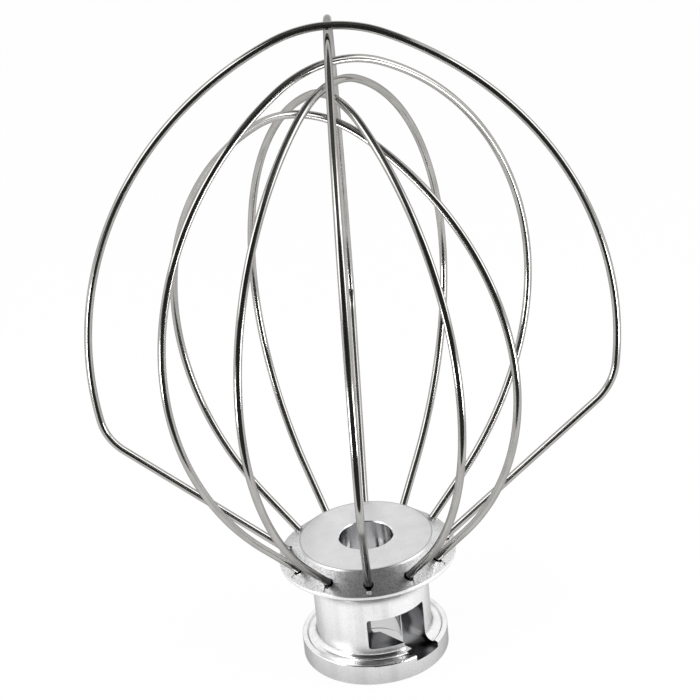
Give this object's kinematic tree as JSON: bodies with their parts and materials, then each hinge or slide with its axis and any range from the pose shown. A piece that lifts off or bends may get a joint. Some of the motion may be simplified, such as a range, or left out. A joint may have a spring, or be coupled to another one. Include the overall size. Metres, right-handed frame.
{
  "type": "stand mixer wire whisk",
  "caption": "Balloon of bent steel wire loops staked into a turned aluminium hub, with a bore and an L-shaped pin slot that lock it on a stand mixer's shaft.",
  "frame": {"origin": "centre of the bore in the hub's lower face, which the whisk stands on and where the mixer's shaft enters", "axes": "+Z along the shaft axis, from the hub to the tip of the wires; +X in the plane of the widest loop; the pin slot's entry is at 45 degrees between +X and -Y"},
  "size_m": [0.123, 0.1226, 0.1581],
  "materials": {
    "hub_aluminium": "satin, turned",
    "wire_steel": "polished stainless wire"
  },
  "bodies": {
    "root": {"hub": "hub_aluminium", "outer_wire_over": "wire_steel", "outer_wire_under": "wire_steel", "inner_wire_1": "wire_steel", "inner_wire_2": "wire_steel", "inner_wire_3": "wire_steel", "inner_wire_4": "wire_steel"}
  },
  "joints": []
}
